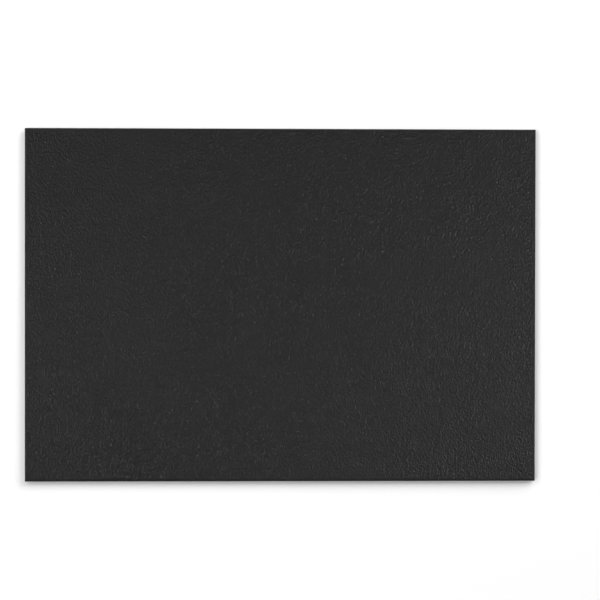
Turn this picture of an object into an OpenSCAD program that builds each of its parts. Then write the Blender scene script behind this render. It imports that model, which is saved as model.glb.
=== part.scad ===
// Adhesive-fixed door kick plate, upright as it sits on the door.
// X runs across the door, Z up it, and Y from the plate's face (-Y) to the door (+Y).
// The origin is the middle of the bonding plane, where the tape meets the door.

/* [Plate] */
// Width of the plate, across the door
plate_w = 294.5; // [200:0.5:900]
// Height of the plate
plate_h = 203.2; // [150:0.1:400]
// Thickness of the plastic sheet
plate_t = 3.2; // [1.6:0.1:6.4]
// Width of the eased edge around the face
edge_ease = 0.3; // [0.2:0.1:1.2]

/* [Foam tape] */
// Width of every strip
tape_w = 25.4; // [12.7:0.1:25.4]
// Thickness of the foam with its two adhesive faces
tape_t = 1.1; // [0.5:0.1:2]
// Bare margin between the plate's edge and the strips
tape_inset = 6; // [3:0.5:12]
// Gap left where one strip ends beside another
strip_gap = 2; // [1:0.5:5]

/* [Release liner] */
// Thickness of the liner film
liner_t = 0.1; // [0.05:0.01:0.3]
// Length of the pull tab past the end of the tape
tab_l = 12; // [6:1:20]
// Corner radius of the pull tab
tab_r = 4; // [2:0.5:6]

/* [Hidden] */
$fn = 48;

// Depths, from the bonding plane at y = 0 towards the face
tape_back = -liner_t;
plate_back = tape_back - tape_t;
plate_face = plate_back - plate_t;

// Centre lines of the outer strips
row_z = plate_h / 2 - tape_inset - tape_w / 2;
column_x = plate_w / 2 - tape_inset - tape_w / 2;

// Length of each strip, its pull tab included
frame_band = tape_inset + tape_w + strip_gap;
row_run = plate_w - 2 * tape_inset;
column_run = plate_h - 2 * frame_band;
middle_run = plate_w - 2 * frame_band;

plate_colour = "#2e2f2e";
tape_colour = "#3d3e40";
liner_colour = "#b2242c";

// Section of the sheet across a span, with both corners of the face eased
module eased_section(span) {
    half = span / 2;
    polygon([
        [edge_ease - half, 0], [half - edge_ease, 0], [half, edge_ease],
        [half, plate_t], [-half, plate_t], [-half, edge_ease]
    ]);
}

// A flat outline in X and Z, given a thickness that starts at y = back and runs to the face
module sheet(back, thickness) {
    translate([0, back, 0]) rotate([90, 0, 0]) linear_extrude(thickness) children();
}

// One strip of tape, along +X from the end of its pull tab
module tape_strip(run) {
    color(tape_colour) sheet(tape_back, tape_t)
        translate([tab_l, -tape_w / 2]) square([run - tab_l, tape_w]);
}

// One liner, along +X from the rounded end of its pull tab
module liner_strip(run) {
    color(liner_colour) sheet(0, liner_t) union() {
        translate([tab_r, -tape_w / 2]) square([run - tab_r, tape_w]);
        translate([0, tab_r - tape_w / 2]) square([tab_r, tape_w - 2 * tab_r]);
        for (side = [-1, 1]) translate([tab_r, side * (tape_w / 2 - tab_r)]) circle(tab_r);
    }
}

// Places of the strips: rows start at the left, columns at the top
module at_row(z) { translate([-row_run / 2, 0, z]) children(); }
module at_column(x) { translate([x, 0, column_run / 2]) rotate([0, 90, 0]) children(); }
module at_middle() { translate([-middle_run / 2, 0, 0]) children(); }

// Textured plastic sheet with eased front edges, and no holes
module face_plate() {
    color(plate_colour) translate([0, plate_face, 0]) intersection() {
        translate([0, 0, -plate_h / 2]) linear_extrude(plate_h) eased_section(plate_w);
        translate([-plate_w / 2, 0, 0]) rotate([0, 90, 0])
            linear_extrude(plate_w) eased_section(plate_h);
    }
}

// Double-sided foam tape on the back of the plate
module top_tape() { at_row(row_z) tape_strip(row_run); }
module bottom_tape() { at_row(-row_z) tape_strip(row_run); }
module left_tape() { at_column(-column_x) tape_strip(column_run); }
module right_tape() { at_column(column_x) tape_strip(column_run); }
module middle_tape() { at_middle() tape_strip(middle_run); }

// Peel-off liners over the tape
module top_liner() { at_row(row_z) liner_strip(row_run); }
module bottom_liner() { at_row(-row_z) liner_strip(row_run); }
module left_liner() { at_column(-column_x) liner_strip(column_run); }
module right_liner() { at_column(column_x) liner_strip(column_run); }
module middle_liner() { at_middle() liner_strip(middle_run); }

face_plate();
top_tape();
bottom_tape();
left_tape();
right_tape();
middle_tape();
top_liner();
bottom_liner();
left_liner();
right_liner();
middle_liner();
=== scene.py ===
import math

import bpy
import numpy as np
from mathutils import Matrix, Vector


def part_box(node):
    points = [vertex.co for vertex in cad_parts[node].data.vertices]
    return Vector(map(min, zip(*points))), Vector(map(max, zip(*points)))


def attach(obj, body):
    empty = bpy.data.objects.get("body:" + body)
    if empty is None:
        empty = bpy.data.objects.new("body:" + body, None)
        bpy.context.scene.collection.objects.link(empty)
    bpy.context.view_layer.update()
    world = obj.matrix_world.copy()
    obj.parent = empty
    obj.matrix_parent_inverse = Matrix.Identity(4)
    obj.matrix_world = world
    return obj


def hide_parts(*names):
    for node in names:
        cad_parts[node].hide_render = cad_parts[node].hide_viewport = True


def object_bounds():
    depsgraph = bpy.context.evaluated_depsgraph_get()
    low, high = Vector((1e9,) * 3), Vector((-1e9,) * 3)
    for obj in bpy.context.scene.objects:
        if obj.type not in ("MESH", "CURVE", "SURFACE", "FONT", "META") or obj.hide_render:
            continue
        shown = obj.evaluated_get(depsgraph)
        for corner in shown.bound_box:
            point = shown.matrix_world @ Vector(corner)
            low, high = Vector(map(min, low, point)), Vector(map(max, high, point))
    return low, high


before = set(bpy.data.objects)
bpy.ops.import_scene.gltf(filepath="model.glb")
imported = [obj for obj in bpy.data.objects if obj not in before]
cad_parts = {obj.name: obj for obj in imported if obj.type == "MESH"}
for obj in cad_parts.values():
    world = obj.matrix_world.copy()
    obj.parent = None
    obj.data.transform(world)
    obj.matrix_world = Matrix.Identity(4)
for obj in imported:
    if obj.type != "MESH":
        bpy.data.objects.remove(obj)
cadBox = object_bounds()
mm = 0.001  # all sizes below are in millimetres, and Blender works in metres


class Wire:  # one socket, so that sums on values read as sums
    def __init__(self, shader, socket):
        self.shader, self.socket = shader, socket

    def sums(self, operation, first, second):
        return self.shader.add("ShaderNodeMath", {"operation": operation}, {0: first, 1: second})

    def __add__(self, other):
        return self.sums("ADD", self, other)

    def __radd__(self, other):
        return self.sums("ADD", other, self)

    def __sub__(self, other):
        return self.sums("SUBTRACT", self, other)

    def __rsub__(self, other):
        return self.sums("SUBTRACT", other, self)

    def __mul__(self, other):
        return self.sums("MULTIPLY", self, other)

    def __rmul__(self, other):
        return self.sums("MULTIPLY", other, self)


class Shader:  # one material or world while it is wired up
    def __init__(self, name, store=bpy.data.materials, surface="Principled BSDF"):
        self.owner = store.new(name)
        self.owner.use_nodes = True
        self.tree = self.owner.node_tree
        self.surface = self.tree.nodes[surface]

    def add(self, kind, settings=None, sockets=None, out=0):
        node = self.tree.nodes.new(kind)
        for key, value in (settings or {}).items():
            setattr(node, key, value)
        self.feed(node, sockets or {})
        return Wire(self, node.outputs[out])

    def feed(self, node, sockets):
        for key, value in sockets.items():
            if isinstance(value, Wire):
                self.tree.links.new(value.socket, node.inputs[key])
            else:
                node.inputs[key].default_value = value

    def place(self, stretch=(1, 1, 1)):  # object coordinates in millimetres, squeezed along each axis
        at = self.add("ShaderNodeTexCoord", out="Object")
        scale = tuple(1 / (mm * s) for s in stretch)
        return self.add("ShaderNodeVectorMath", {"operation": "MULTIPLY"}, {0: at, 1: scale})

    def noise(self, wavelength, detail=3, stretch=(1, 1, 1)):
        sockets = {"Vector": self.place(stretch), "Scale": 1 / wavelength, "Detail": detail}
        return self.add("ShaderNodeTexNoise", sockets=sockets)

    def cells(self, wavelength, feature="F1", stretch=(1, 1, 1)):
        sockets = {"Vector": self.place(stretch), "Scale": 1 / wavelength}
        return self.add("ShaderNodeTexVoronoi", {"feature": feature}, sockets)

    def spread(self, value, low, high, start=0.0, end=1.0):  # a smooth step from start to end
        sockets = {"Value": value, "From Min": low, "From Max": high, "To Min": start, "To Max": end}
        return self.add("ShaderNodeMapRange", {"interpolation_type": "SMOOTHSTEP"}, sockets)

    def stored(self, name):  # a number kept on the mesh
        return self.add("ShaderNodeAttribute", {"attribute_name": name}, out=2)

    def blend(self, share, low, high):  # two colours
        return self.add("ShaderNodeMix", {"data_type": "RGBA"}, {0: share, 6: low, 7: high}, out=2)

    def bump(self, height, depth, strength=1.0):
        sockets = {"Height": height, "Distance": depth * mm, "Strength": strength}
        return self.add("ShaderNodeBump", sockets=sockets)

    def finish(self, **sockets):
        names = {key: key.replace("_", " ") for key in sockets}
        self.feed(self.surface, {names[key]: value for key, value in sockets.items()})
        return self.owner


def grey(value, warm=0.0, green=0.0):
    return (value * (1 + warm), value * (1 + green), value * (1 - warm), 1)


def softNoise(x, y, wavelength, seed):  # smooth noise from -1 to 1 on a lattice of that spacing
    u, v = x / wavelength, y / wavelength
    i, j = np.floor(u).astype(int), np.floor(v).astype(int)
    i0, j0 = i.min(), j.min()
    values = np.random.default_rng(seed).uniform(-1, 1, (i.max() - i0 + 2, j.max() - j0 + 2))
    i, j, u, v = i - i0, j - j0, u - i, v - j
    u, v = u * u * (3 - 2 * u), v * v * (3 - 2 * v)
    low = values[i, j] * (1 - u) + values[i + 1, j] * u
    high = values[i, j + 1] * (1 - u) + values[i + 1, j + 1] * u
    return low * (1 - v) + high * v


def smoothStep(value, low, high):
    t = np.clip((value - low) / (high - low), 0, 1)
    return t * t * (3 - 2 * t)


def edgeLoop(countU, countV):  # grid indices around the border, once round
    index = np.arange(countU * countV).reshape(countU, countV)
    return np.concatenate([index[:-1, 0], index[-1, :-1], index[:0:-1, -1], index[0, :0:-1]])


def gridFaces(countU, countV, start=0, flip=False):
    index = start + np.arange(countU * countV).reshape(countU, countV)
    corners = [index[:-1, :-1], index[1:, :-1], index[1:, 1:], index[:-1, 1:]]
    faces = np.stack([c.ravel() for c in corners], axis=1)
    return (faces[:, ::-1] if flip else faces).tolist()


def wallFaces(front, back):  # quads between two rings
    nextFront, nextBack = np.roll(front, -1), np.roll(back, -1)
    return np.stack([front, back, nextBack, nextFront], axis=1).tolist()


def makePiece(name, points, parts, materials, sharpRings=(), numbers=None):
    # parts is a list of (faces, material index); sharpRings are rings whose edges stay crisp
    mesh = bpy.data.meshes.new(name)
    faces = [face for group, _ in parts for face in group]
    mesh.from_pydata(points.tolist(), [], faces)
    slots = np.concatenate([np.full(len(group), slot, np.int32) for group, slot in parts])
    mesh.polygons.foreach_set("material_index", slots)
    mesh.polygons.foreach_set("use_smooth", np.ones(len(faces), bool))
    ends = np.zeros(len(mesh.edges) * 2, np.int32)
    mesh.edges.foreach_get("vertices", ends)
    ends = ends.reshape(-1, 2)
    sharp = np.zeros(len(mesh.edges), bool)
    for ring in sharpRings:
        sharp |= np.isin(ends, ring).all(axis=1)
    mesh.edges.foreach_set("use_edge_sharp", sharp)
    for key, values in (numbers or {}).items():
        mesh.attributes.new(key, "FLOAT", "POINT").data.foreach_set("value", values.astype(np.float32))
    mesh.update()
    piece = bpy.data.objects.new(name, mesh)
    bpy.context.scene.collection.objects.link(piece)
    for material in materials:
        mesh.materials.append(material)
    return piece


plate = {
    "stepAcross": 0.7, "stepUp": 1.0,       # spacing of the face's grid
    "easeSteps": 4, "wallSteps": 4,
    "grainDepth": 0.12, "pebble": 1.9, "stretch": 1.15, "valley": 0.5,
    "warp": 0.4, "warpLength": 3.3,
    "rim": 0.4,                             # the grain dies out this close to the edge
    "sawMark": 0.03, "sawLength": 1.3,
    "backBreak": 0.12,                      # the sharp back edge is just broken
    "wrinkle": 1.03, "pore": 0.5, "wrinkleDepth": 0.55, "wrinkleShare": 0.9,
    # the darkest and palest factors paint the grain's valleys darker than its crests: painted shade
    "colour": 0.0038, "valleyShade": 0.78, "crestTone": 1.16, "green": 0.24, "ior": 1.46,
    "easeColour": 0.019, "rough": 0.36, "edgeRough": 0.15, "seed": 11,
}


def pebbleField(x, z):  # height of the haircell grain from 0 in the valleys to 1 on the crests
    size, seed = plate["pebble"] * mm, plate["seed"]
    warp, length = plate["warp"] * mm, plate["warpLength"] * mm
    u = (x + warp * softNoise(x, z, length, seed + 1)) / size
    v = (z + warp * softNoise(x, z, length, seed + 2)) / (size * plate["stretch"])
    i, j = np.floor(u).astype(int), np.floor(v).astype(int)
    i0, j0 = i.min() - 1, j.min() - 1
    random = np.random.default_rng(seed)
    shape = (i.max() - i0 + 2, j.max() - j0 + 2)
    centres, heights = random.uniform(0.08, 0.92, (*shape, 2)), random.uniform(0.6, 1.0, shape)
    nearest, second, height = np.full(x.shape, 9.0), np.full(x.shape, 9.0), np.zeros(x.shape)
    for di in (-1, 0, 1):
        for dj in (-1, 0, 1):
            a, b = i + di, j + dj
            centre = centres[a - i0, b - j0]
            distance = np.hypot(u - a - centre[..., 0], v - b - centre[..., 1])
            closer = distance < nearest
            second = np.where(closer, nearest, np.minimum(second, distance))
            height = np.where(closer, heights[a - i0, b - j0], height)
            nearest = np.where(closer, distance, nearest)
    return smoothStep(second - nearest, 0, plate["valley"]) * height * (1 - 0.7 * nearest ** 2)


def gridLines(low, high, ease, step):  # close lines over the eased edge, even ones between
    edge = ease * np.linspace(0, 1, plate["easeSteps"] + 1)[:-1]
    middle = np.linspace(low + ease, high - ease, round((high - low - 2 * ease) / (step * mm)) + 1)
    return np.concatenate([low + edge, middle, high - edge[::-1]])


def grainedFaceMaterial():
    s = Shader("grainedPlastic")
    crest, cover = s.stored("grain"), s.stored("cover")
    cloud = s.noise(38, detail=0)                                 # slow drift of tone over the sheet
    wrinkle = s.noise(plate["wrinkle"], detail=1, stretch=(1, 1, 1.35)) * cover
    pores = s.cells(plate["pore"], stretch=(1, 1, 1.25)) * cover
    # painted highlight: small pale specks over the face that stand in for glints on the grain
    glintSpecks = s.spread(s.noise(0.6, detail=1), 0.72, 0.8)
    # painted shade: the grain's valleys get a darker colour than its crests, mixed with a slow random drift
    # of tone
    base = s.blend(crest * 0.6 + cloud * 0.4, grey(plate["colour"] * plate["valleyShade"], green=plate["green"]),
                   grey(plate["colour"] * plate["crestTone"], green=plate["green"]))
    colour = s.blend(glintSpecks * 0.25, base, grey(plate["colour"] * 2.2))
    colour = s.blend(cover, grey(plate["easeColour"]), colour)    # scraping turns the edge a little paler
    rough = plate["rough"] + 0.09 * (1 - crest) + 0.04 * (cloud - 0.5)
    rough = rough + plate["edgeRough"] * (1 - cover)
    height = wrinkle * plate["wrinkleShare"] + pores * (1 - plate["wrinkleShare"])
    return s.finish(Base_Color=colour, Roughness=rough, IOR=plate["ior"],
                    Normal=s.bump(height, plate["wrinkleDepth"], 0.9))


def sawnEdgeMaterial():
    s = Shader("sawnEdge")
    marks = s.noise(0.5, detail=3, stretch=(0.35, 4, 0.35))        # fine marks across the thickness
    scuff = s.noise(9, detail=3)
    colour = s.blend(marks * 0.5 + scuff * 0.5, grey(0.011), grey(0.026))
    return s.finish(Base_Color=colour, Roughness=0.46 + 0.3 * marks, IOR=1.42,
                    Normal=s.bump(marks, 0.04, 0.7))


def smoothBackMaterial():
    s = Shader("smoothBack")
    lines = s.noise(0.8, detail=3, stretch=(40, 1, 1))             # faint lines left by the rollers
    cloud = s.noise(30, detail=4)
    scratch = s.spread(s.noise(1.2, detail=2, stretch=(14, 1, 0.5)), 0.69, 0.75)
    colour = s.blend(cloud * 0.6 + lines * 0.4, grey(0.011), grey(0.02))
    colour = s.blend(scratch * 0.35, colour, grey(0.05))
    rough = 0.33 + 0.16 * cloud + 0.08 * lines + 0.1 * scratch
    fine = s.noise(0.45, detail=2)
    return s.finish(Base_Color=colour, Roughness=rough, IOR=1.45,
                    Normal=s.bump(lines * 0.5 + fine * 0.5 - scratch * 0.6, 0.02, 0.6))


def buildFacePlate():
    low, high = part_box("face_plate")
    front = [v.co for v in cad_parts["face_plate"].data.vertices if v.co.y < low.y + 1e-6]
    ease = min(v.x for v in front) - low.x                         # as wide as the drawn edge
    xs = gridLines(low.x, high.x, ease, plate["stepAcross"])
    zs = gridLines(low.z, high.z, ease, plate["stepUp"])
    x, z = np.meshgrid(xs, zs, indexing="ij")
    fromEdge = np.minimum(np.minimum(x - low.x, high.x - x), np.minimum(z - low.z, high.z - z))
    cover = smoothStep(fromEdge, ease, plate["rim"] * mm)
    crest = pebbleField(x, z)
    sink = ease * np.clip(1 - fromEdge / ease, 0, 1) ** 1.25       # rounds the edge into the face
    y = low.y + sink + plate["grainDepth"] * mm * (1 - crest) * cover
    points = [np.stack([x.ravel(), y.ravel(), z.ravel()], axis=1)]
    ring = edgeLoop(len(xs), len(zs))
    rings, parts = [ring], [(gridFaces(len(xs), len(zs)), 0)]
    edge = points[0][ring]
    inwards = np.stack([(edge[:, 0] < low.x + 1e-7) * 1.0 - (edge[:, 0] > high.x - 1e-7),
                        (edge[:, 2] < low.z + 1e-7) * 1.0 - (edge[:, 2] > high.z - 1e-7)], axis=1)
    count = len(points[0])
    for step in range(1, plate["wallSteps"] + 1):
        share = step / plate["wallSteps"]
        depth = low.y + ease + (high.y - low.y - ease - plate["backBreak"] * mm) * share
        down = np.full(len(ring), depth * 3)
        mark = softNoise(edge[:, 0] + edge[:, 2], down, plate["sawLength"] * mm, 5 + step)
        inset = plate["sawMark"] * mm * (0.5 + 0.5 * mark)
        points.append(np.stack([edge[:, 0] + inwards[:, 0] * inset, np.full(len(ring), depth),
                                edge[:, 2] + inwards[:, 1] * inset], axis=1))
        rings.append(count + np.arange(len(ring)))
        count += len(ring)
    inset = plate["backBreak"] * mm
    points.append(np.stack([edge[:, 0] + inwards[:, 0] * inset, np.full(len(ring), high.y),
                            edge[:, 2] + inwards[:, 1] * inset], axis=1))
    rings.append(count + np.arange(len(ring)))
    parts += [(wallFaces(a, b), 1) for a, b in zip(rings, rings[1:])]
    parts.append(([rings[-1][::-1].tolist()], 2))
    points = np.concatenate(points)
    numbers = {"grain": np.ones(len(points)), "cover": np.zeros(len(points))}
    numbers["grain"][:crest.size], numbers["cover"][:cover.size] = crest.ravel(), cover.ravel()
    materials = [grainedFaceMaterial(), sawnEdgeMaterial(), smoothBackMaterial()]
    piece = makePiece("grained_sheet", points, parts, materials, [rings[0], rings[-2], rings[-1]], numbers)
    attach(piece, "plate")
    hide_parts("face_plate")
    return len(parts[0][0])


print("face plate built:", buildFacePlate(), "faces in the grain")


def strip(name, along, across, halfWidth, layers, lift, materials, slots, numbers=None):
    # a closed strip that runs from its pull-tab end; layers are (depth, inset) from the door side inwards
    low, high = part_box(name)
    row = high.x - low.x > high.z - low.z
    run = max(high.x - low.x, high.z - low.z)
    middle = (low + high) / 2
    u, v = np.meshgrid(along, across, indexing="ij")

    def layerPoints(depth, inset):
        half = halfWidth(u) - inset
        length = inset + u * (run - 2 * inset) / run
        x, z = (low.x + length, middle.z + v * half) if row else (middle.x + v * half, high.z - length)
        return np.stack([x.ravel(), (depth + lift(u, v * half)).ravel(), z.ravel()], axis=1)

    ring = edgeLoop(len(along), len(across))
    size = len(along) * len(across)
    points, rings = [layerPoints(*layers[-1])], [ring]
    for depth, inset in layers[-2:0:-1]:
        rings.append(sum(len(p) for p in points) + np.arange(len(ring)))
        points.append(layerPoints(depth, inset)[ring])
    start = sum(len(p) for p in points)
    points.append(layerPoints(*layers[0]))
    rings.append(start + ring)
    parts = [(gridFaces(len(along), len(across)), slots[2])]
    parts += [(wallFaces(a, b), slots[1]) for a, b in zip(rings, rings[1:])]
    parts.append((gridFaces(len(along), len(across), start, flip=True), slots[0]))
    kept = {}
    for key, value in (numbers or {}).items():
        values = value(u, v).ravel()
        kept[key] = np.concatenate([values] + [values[ring]] * (len(layers) - 2) + [values])
    return makePiece(name + "_strip", np.concatenate(points), parts, materials, [rings[0], rings[-1]], kept)


tape = {
    "step": 3.0, "acrossSteps": 8,
    "waist": 0.18,                          # the foam's cut sides draw in a little
    "foam": 0.021, "glue": 0.03, "cell": 0.32,
}
liner = {
    "step": 2.0, "tabSteps": 16, "acrossSteps": 10,
    "cornerRadius": 4.0,
    "droop": 0.72, "wave": 0.035, "waveLength": 22.0,
    "red": (0.40, 0.012, 0.02, 1), "deepRed": (0.33, 0.0095, 0.0165, 1), "pale": (0.5, 0.03, 0.04, 1),
}


def foamMaterial():
    s = Shader("foamSides")
    cell = s.cells(tape["cell"])
    tone = s.noise(4, detail=3)
    # painted shade: the pits of the foam's cells are coloured darker than the cell walls, with a random tone
    # mixed in
    colour = s.blend(cell * 0.7 + tone * 0.3, grey(tape["foam"] * 0.5), grey(tape["foam"] * 1.9))
    return s.finish(Base_Color=colour, Roughness=0.82 + 0.12 * tone, Normal=s.bump(cell, 0.09, 0.9))


def glueMaterial():
    s = Shader("adhesiveFace")
    ripple = s.noise(2.4, detail=3)
    cloud = s.noise(14, detail=3)
    colour = s.blend(cloud, grey(tape["glue"] * 0.7), grey(tape["glue"] * 1.25))
    return s.finish(Base_Color=colour, Roughness=0.3 + 0.22 * cloud, Normal=s.bump(ripple, 0.05, 0.5))


def linerMaterial():
    s = Shader("linerFilm")
    overTape = s.stored("overTape")
    wetOut = s.spread(s.noise(9, detail=5), 0.3, 0.7)              # where the film sits close to the glue
    weave = s.cells(1.15, feature="DISTANCE_TO_EDGE")              # a fine embossed net
    streak = s.noise(3, detail=3, stretch=(6, 1, 6))
    lying = s.blend(wetOut * 0.8 + streak * 0.2, liner["red"], liner["deepRed"])
    colour = s.blend(overTape, liner["pale"], lying)
    rough = 0.3 + 0.16 * streak + 0.08 * (1 - wetOut)
    height = s.spread(weave, 0.0, 0.22) * 0.6 + s.noise(5, detail=2) * 0.9
    return s.finish(Base_Color=colour, Roughness=rough, Normal=s.bump(height, 0.07, 0.55))


foam, glue, film = foamMaterial(), glueMaterial(), linerMaterial()


def buildTape(side):
    name = side + "_tape"
    low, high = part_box(name)
    run = max(high.x - low.x, high.z - low.z)
    half = min(high.x - low.x, high.z - low.z) / 2
    thick = high.y - low.y
    waist = tape["waist"] * mm
    layers = [(high.y, 0), (high.y - 0.2 * thick, waist * 0.6), (high.y - 0.5 * thick, waist),
              (low.y + 0.2 * thick, waist * 0.6), (low.y, 0)]
    along = np.linspace(0, run, round(run / (tape["step"] * mm)) + 1)
    piece = strip(name, along, np.linspace(-1, 1, tape["acrossSteps"] + 1), lambda u: half + 0 * u,
                  layers, lambda u, w: 0 * u, [glue, foam], (0, 1, 0))
    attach(piece, "plate")
    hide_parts(name)


def buildLiner(side):
    name = side + "_liner"
    low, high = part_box(name)
    tapeLow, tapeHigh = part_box(side + "_tape")
    run = max(high.x - low.x, high.z - low.z)
    half = min(high.x - low.x, high.z - low.z) / 2
    tab = run - max(tapeHigh.x - tapeLow.x, tapeHigh.z - tapeLow.z)
    radius = liner["cornerRadius"] * mm
    seed = sum(map(ord, side))

    def halfWidth(u):  # rounded corners at the tab's end
        short = np.clip(radius - u, 0, radius)
        return half - radius + np.sqrt(radius ** 2 - short ** 2)

    def lift(u, w):  # the film is never quite flat, and its tab droops more at one corner
        bend = np.clip(1 - u / tab, 0, 1) ** 2 * (1 + 0.18 * w / half)
        sway = 0.5 + 0.5 * softNoise(u, w, liner["waveLength"] * mm, seed)
        return (liner["wave"] * sway * np.clip(u / tab - 1, 0, 1) - liner["droop"] * bend) * mm

    corner = radius * (1 - np.cos(np.linspace(0, math.pi / 2, 9)))
    along = np.concatenate([corner, np.linspace(radius, tab, liner["tabSteps"] + 1)[1:],
                            np.linspace(tab, run, round((run - tab) / (liner["step"] * mm)) + 1)[1:]])
    piece = strip(name, along, np.linspace(-1, 1, liner["acrossSteps"] + 1), halfWidth,
                  [(high.y, 0), (low.y, 0)], lift, [film], (0, 0, 0),
                  {"overTape": lambda u, v: smoothStep(u, tab - 0.4 * mm, tab + 0.4 * mm)})
    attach(piece, name)
    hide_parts(name)


for side in ("top", "bottom", "left", "right", "middle"):
    buildTape(side)
    buildLiner(side)
print("tape and liners built")


studio = {
    "gap": 80.0,                            # from the plate's lower edge down to the floor
    "board": (1200, 900), "boardBehind": 0.3, "floor": 12000,
    "skyForCamera": 1.03, "skyFront": 0.07, "skyBack": 0.35,
    "overhead": 3.6, "overheadSpread": 30, "overheadTilt": 20,   # it comes from behind the plate
    "distance": 1500.0, "yaw": 2.25, "pitch": 0.85, "roll": 0.084,
    "shown": 345.9, "shift": (0.0317, 0.0086),
}
lamps = {  # place, point faced, width and height, all in mm, then power in W and what it lights
    "softRight": ((2680, -1600, 2190), (2680, 0, 2190), (4650, 3630), 222, "colour"),
    "softLeft": ((-1110, -1600, 320), (-1110, 0, 320), (1450, 2820), 46, "colour"),
    "reliefRight": ((720, -1120, -115), (0, 0, 0), (130, 320), 4.25, "gloss"),
    "reliefLeft": ((-800, -1290, -135), (0, 0, 0), (145, 365), 4.85, "gloss"),
    "softBack": ((-700, 1300, 600), (0, 0, 0), (900, 900), 6, "both"),
}


def whiteMaterial(name, oneSided):
    s = Shader(name)
    speck = s.noise(60, detail=2)
    s.finish(Base_Color=s.blend(speck, grey(0.85), grey(0.87)), Roughness=0.9)
    if oneSided:  # so that the back of the plate can be looked at
        clear = s.add("ShaderNodeBsdfTransparent")
        behind = s.add("ShaderNodeNewGeometry", out="Backfacing")
        both = s.add("ShaderNodeMixShader", {}, {0: behind, 1: Wire(s, s.surface.outputs[0]), 2: clear})
        s.feed(s.tree.nodes["Material Output"], {0: both})
    return s.owner


def flatSheet(name, corners, material):
    mesh = bpy.data.meshes.new(name)
    mesh.from_pydata(corners, [], [(0, 1, 2, 3)])
    mesh.materials.append(material)
    sheet = bpy.data.objects.new(name, mesh)
    bpy.context.scene.collection.objects.link(sheet)
    return sheet


def buildStage():
    low, high = cadBox
    ground = low[2] - studio["gap"] * mm
    wide, tall = (s * mm for s in studio["board"])
    wide, behind, foot = wide / 2, studio["boardBehind"] * mm, ground - 20 * mm
    top = foot + tall
    corners = [(-wide, behind, foot), (wide, behind, foot), (wide, behind, top), (-wide, behind, top)]
    board = flatSheet("board", corners, whiteMaterial("boardWhite", True))
    far = studio["floor"] * mm / 2
    corners = [(-far, -far, ground), (far, -far, ground), (far, far, ground), (-far, far, ground)]
    floor = flatSheet("floor", corners, whiteMaterial("floorWhite", False))
    for sheet in (board, floor):  # they take shadows, and give none
        sheet.visible_shadow = sheet.visible_diffuse = sheet.visible_glossy = False


def buildSky():  # brighter behind the plate than in front, and white wherever it is seen itself
    s = Shader("studioSky", bpy.data.worlds, "Background")
    direction = s.add("ShaderNodeTexCoord", out="Generated")
    towards = s.add("ShaderNodeSeparateXYZ", sockets={"Vector": direction}, out="Y")
    sky = s.spread(towards, -0.1, 0.4, studio["skyFront"], studio["skyBack"])
    seen = s.add("ShaderNodeLightPath", out="Is Camera Ray")
    strength = s.spread(seen, 0, 1, sky, studio["skyForCamera"])
    bpy.context.scene.world = s.finish(Color=grey(1), Strength=strength)


def lampObject(name, kind):
    lamp = bpy.data.lights.new(name, kind)
    holder = bpy.data.objects.new(name, lamp)
    bpy.context.scene.collection.objects.link(holder)
    holder.visible_camera = False
    return lamp, holder


def buildLights():
    for name, (place, facing, size, power, lights) in lamps.items():
        lamp, holder = lampObject(name, "AREA")
        lamp.shape, lamp.size, lamp.size_y, lamp.energy = "RECTANGLE", size[0] * mm, size[1] * mm, power
        holder.location = Vector(place) * mm
        holder.rotation_euler = (Vector(facing) - Vector(place)).to_track_quat("-Z", "Y").to_euler()
        holder.visible_diffuse, holder.visible_glossy = lights != "gloss", lights != "colour"
    lamp, holder = lampObject("overhead", "SUN")
    lamp.energy, lamp.angle = studio["overhead"], math.radians(studio["overheadSpread"])
    holder.rotation_euler = (-math.radians(studio["overheadTilt"]), 0, 0)
    holder.visible_glossy = False


def buildCamera():
    camera = bpy.data.cameras.new("camera")
    holder = bpy.data.objects.new("camera", camera)
    bpy.context.scene.collection.objects.link(holder)
    bpy.context.scene.camera = holder
    yaw, pitch, distance = math.radians(studio["yaw"]), math.radians(studio["pitch"]), studio["distance"] * mm
    face = Vector((0, cadBox[0][1], 0))
    towards = Vector((math.sin(yaw) * math.cos(pitch), math.cos(yaw) * math.cos(pitch), -math.sin(pitch)))
    holder.location = face - distance * towards
    turn = towards.to_track_quat("-Z", "Y").to_matrix().to_4x4()
    holder.rotation_euler = (turn @ Matrix.Rotation(math.radians(studio["roll"]), 4, "Z")).to_euler()
    camera.lens = camera.sensor_width * distance / (studio["shown"] * mm)
    camera.shift_x, camera.shift_y = studio["shift"]
    camera.clip_start = 0.01


buildStage()
buildSky()
buildLights()
buildCamera()
bpy.context.scene.view_settings.view_transform = "Standard"
print("studio set")
